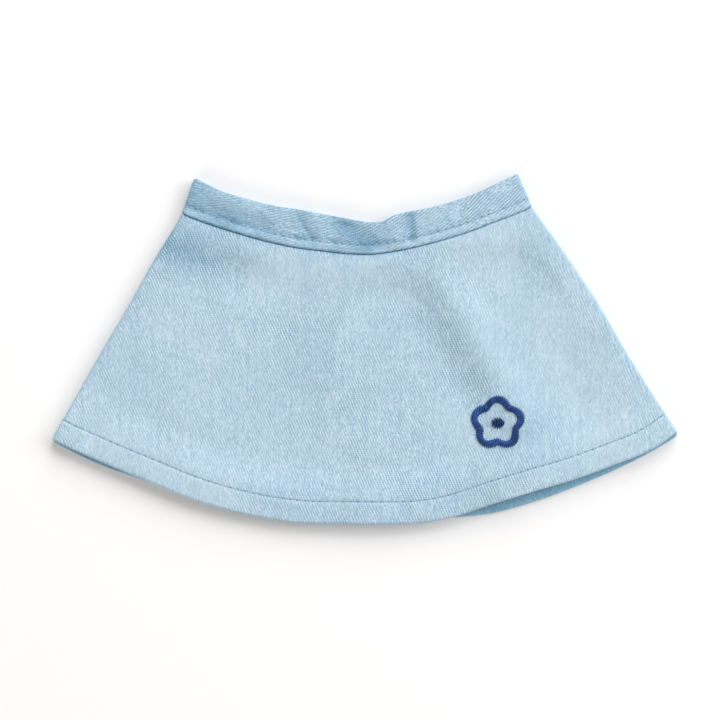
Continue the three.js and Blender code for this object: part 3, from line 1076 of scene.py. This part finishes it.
def add_studio():
    scene = bpy.context.scene
    scene.view_settings.view_transform = "Standard"
    world = bpy.data.worlds.new("studio")
    world.use_nodes = True
    world.node_tree.nodes["Background"].inputs["Color"].default_value = SKY
    world.node_tree.nodes["Background"].inputs["Strength"].default_value = SKY_STRENGTH
    scene.world = world
    add_light("key_light", place=(0.9, 3.1, 2.1), size=3.4, power=112, tone=(0.98, 1.0, 1.03))
    add_light("side_light", place=(2.9, 1.0, 2.1), size=2.4, power=62, tone=(0.95, 1.0, 1.06))
    add_light("low_light", place=(-1.6, -3.0, 2.2), size=2.6, power=34, tone=(0.98, 1.0, 1.02))

    white = Finish("floor_white").surface(Base_Color=FLOOR_WHITE, Roughness=0.9)
    corners = [(x * FLOOR_REACH, y * FLOOR_REACH, FLOOR_Z) for x, y in ((-1, -1), (1, -1), (1, 1), (-1, 1))]
    mesh_piece("floor", corners, [(0, 1, 2, 3)], white, smooth=False)


def place_piece(piece, *nodes):
    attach(piece, "root")
    if nodes:
        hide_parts(*nodes)
    return piece


def satin_thread(bundle, start, end, rise):
    """One satin stitch over the front panel from start to end, in plan, with its middle raised."""
    shares = np.linspace(0, 1, THREAD_POINTS)
    plan = start + (end - start) * shares[:, None]
    ground = front_height(plan[:, 0], plan[:, 1])
    lift = rise * np.sin(math.pi * shares) ** 0.55 - SATIN_SUNK
    centres = np.column_stack([plan, ground + lift])
    upward = np.tile([0.0, 0.0, 1.0], (len(shares), 1))
    ends = np.clip(9 * np.minimum(shares, 1 - shares), 0.3, 1)
    bundle.add(centres, upward, SATIN_THREAD / 2 * ends)


def front_height(x, y):
    """Height of the front panel's outer face at a place in plan."""
    away = np.hypot(x - APEX[0], APEX[1] - y)
    angle = np.degrees(np.arctan2(x - APEX[0], APEX[1] - y))
    seam = WAIST_RADIUS + EDGES.curve("seam", "angle", angle)
    hem = HEM_RADIUS + EDGES.curve("front_hem", "angle", angle)
    left, right = side_angles((away - WAIST_RADIUS) / (HEM_RADIUS - WAIST_RADIUS), away)
    from_side = np.radians(np.minimum(angle - left, right - angle)) * away
    top = MIDDLE_Z + HALF_STACK + WALL / 2
    return top + front_relief(x, y, away - seam, hem - away, from_side)


def flower_outline(turn):
    """Points of the flower's outline, by the turn from its top."""
    lobe = np.sqrt(np.cos(FLOWER_LOBES * turn / 2) ** 2 + 0.12)
    radius = FLOWER_RADIUS + LOBE_DEPTH * (lobe - 0.7)
    return np.array(FLOWER_CENTRE) + radius[..., None] * np.stack([np.sin(turn), np.cos(turn)], -1)


def satin_border(bundle):
    """Satin stitches side by side round the outline, a shorter one underneath between each two."""
    turns = np.linspace(0, 2 * math.pi, 2401)
    line = flower_outline(turns)
    forward = np.gradient(line, axis=0)
    forward /= np.linalg.norm(forward, axis=1, keepdims=True)
    across = np.stack([-forward[:, 1], forward[:, 0]], -1) * SATIN_WIDTH / 2
    edges = [np.linalg.norm(np.diff(line + across * side, axis=0), axis=1) for side in (-1, 0, 1)]
    along = np.concatenate([[0], np.cumsum(np.max(edges, axis=0))])
    count = int(along[-1] / SATIN_PITCH)
    for k in range(count):
        turn = np.interp(along[-1] * k / count, along, turns)
        before, here, after = flower_outline(np.array([turn - 0.02, turn, turn + 0.02]))
        ahead = (after - before) / np.linalg.norm(after - before)
        outward = np.array([-ahead[1], ahead[0]])
        half = SATIN_WIDTH / 2 + SATIN_OVERLAP + 0.16 * math.sin(12.9898 * k)
        reach = outward * half + ahead * SATIN_SLANT
        satin_thread(bundle, here - reach, here + reach, SATIN_RISE + 0.10 * math.sin(7.1 * k))
        reach = outward * (SATIN_WIDTH / 2 - UNDERLAY_SHORT) + ahead * UNDERLAY_SLANT
        beside = here + ahead * SATIN_PITCH / 2
        satin_thread(bundle, beside - reach, beside + reach, UNDERLAY_RISE)


def satin_heart(bundle):
    """Upright satin stitches that fill the flower's middle, with the same underlay."""
    centre = np.array(FLOWER_CENTRE)
    rows = int(2 * FLOWER_HEART / SATIN_PITCH)
    for k in range(rows):
        off = -FLOWER_HEART + 2 * FLOWER_HEART * (k + 0.5) / rows
        half = math.sqrt(max(FLOWER_HEART**2 - off**2, 0.1)) + 0.12 * math.sin(9.1 * k)
        satin_thread(bundle, centre + (off, -half), centre + (off, half), SATIN_RISE)
        beside = centre + (off + SATIN_PITCH / 2, 0)
        half -= UNDERLAY_SHORT
        satin_thread(bundle, beside - (0, half), beside + (0, half), UNDERLAY_RISE)


def flower(material):
    """A blossom of five lobes outlined in satin stitch, with a small filled middle."""
    bundle = ThreadBundle(sides=6)
    satin_border(bundle)
    satin_heart(bundle)
    return bundle.piece("embroidered_flower", material)


add_camera()
add_studio()

front_denim = denim("front_denim", HEM_STITCH, PAINTED_SHADE_TINT, speckled=0.58, twilled=0.72)
back_denim = denim("back_denim", HEM_STITCH, INSIDE_SHADE_TINT, speckled=0.58, twilled=0.72)
band_denim = denim("band_denim", BAND_STITCH, PAINTED_SHADE_TINT, speckled=0.95, twilled=0.84)
sewing_thread = thread_finish("sewing_thread", PALE_THREAD, PALE_THREAD_SHADED, roughness=0.7, ply=0.5)
navy_thread = thread_finish(
    "navy_thread", NAVY_THREAD, NAVY_THREAD_SHADED, roughness=0.5, ply=0.7, underlay_shade=0.6
)

hem_line = line_row(0, 1, -HEM_STITCH, 1 - HEM_STITCH / (HEM_RADIUS - WAIST_RADIUS))
band_line = line_row(1, 0, -BAND_STITCH, -BAND_STITCH / BAND_HEIGHT)

front_panel = cloth_piece(
    "front_panel_cloth", front_stations(steps=290, turn_steps=10),
    panel_rows(steps=100, hem_steps=16, fold_steps=6), FRONT, hem_line, front_denim,
)
place_piece(front_panel, "front_panel")

back_panel = cloth_piece(
    "back_panel_cloth", back_stations(steps=200, turn_steps=10),
    panel_rows(steps=50, hem_steps=12, fold_steps=6), BACK, hem_line, back_denim,
)
place_piece(back_panel, "back_panel")

waistband = cloth_piece(
    "waistband_cloth", band_stations(front_steps=380, back_steps=60, turn_steps=10),
    band_rows(steps=44, inner_steps=8, fold_steps=8), BAND, band_line, band_denim,
)
place_piece(waistband, "waistband")

front_hem_stitches = place_piece(
    stitch_row("front_hem_stitches", front_stations(400, 10), hem_line, FRONT, sewing_thread)
)
back_hem_stitches = place_piece(
    stitch_row("back_hem_stitches", back_stations(400, 10), hem_line, BACK, sewing_thread)
)
band_stitches = place_piece(
    stitch_row("waistband_topstitches", band_stations(400, 100, 10), band_line, BAND, sewing_thread)
)
blossom = place_piece(flower(navy_thread))
